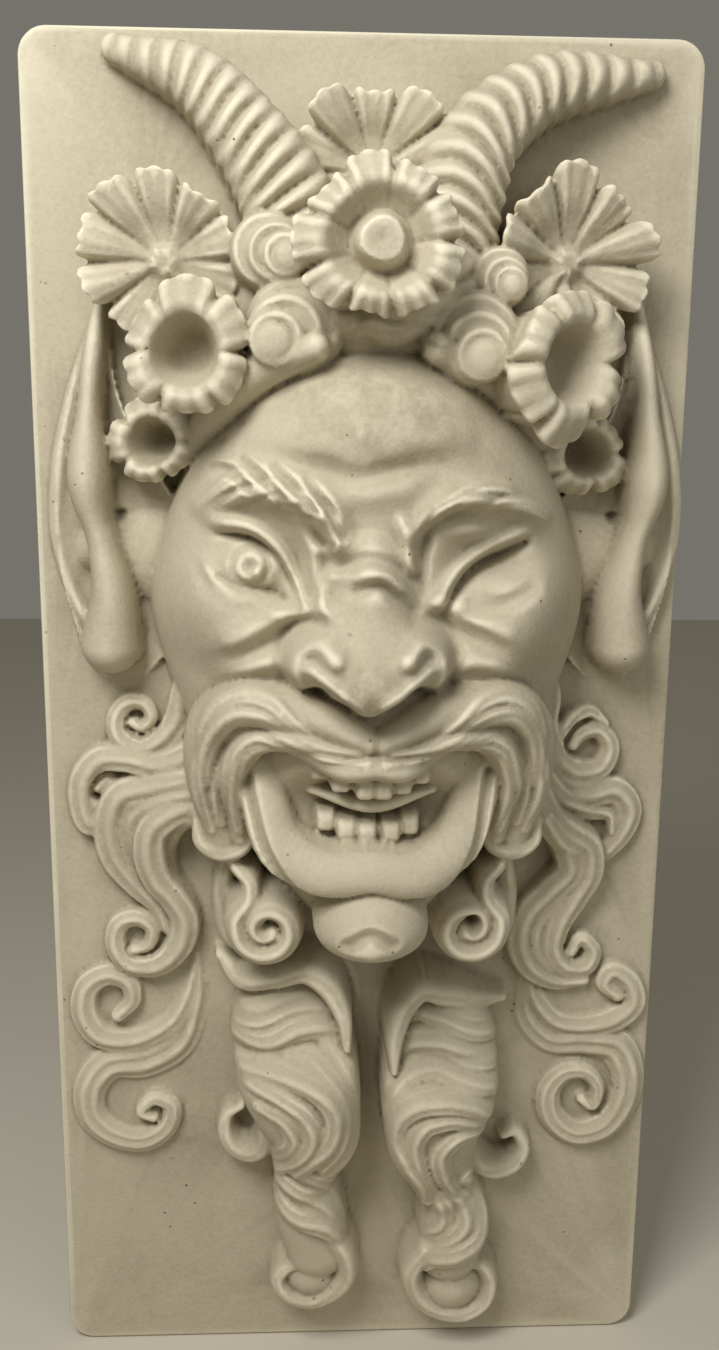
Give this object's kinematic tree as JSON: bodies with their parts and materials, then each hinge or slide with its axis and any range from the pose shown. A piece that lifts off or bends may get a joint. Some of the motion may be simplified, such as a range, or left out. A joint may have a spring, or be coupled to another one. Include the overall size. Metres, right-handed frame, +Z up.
{
  "type": "wall mask plaque",
  "caption": "Plaster wall plaque with a laughing, winking horned satyr mask in high relief, flowers in the hair, goat's ears and a forked, twisted beard.",
  "frame": {"origin": "centre of the panel's flat back face, where it lies against the wall", "axes": "+Z up along the panel's long side, +Y into the wall, so the mask looks along -Y; +X to the right as seen from the front"},
  "size_m": [0.4, 0.1759, 0.86],
  "materials": {
    "plaster": "matt, unglazed cast plaster, warm off-white toned by age, dust in the hollows"
  },
  "bodies": {
    "root": {"plaster_mask_plaque": "plaster"}
  },
  "joints": []
}
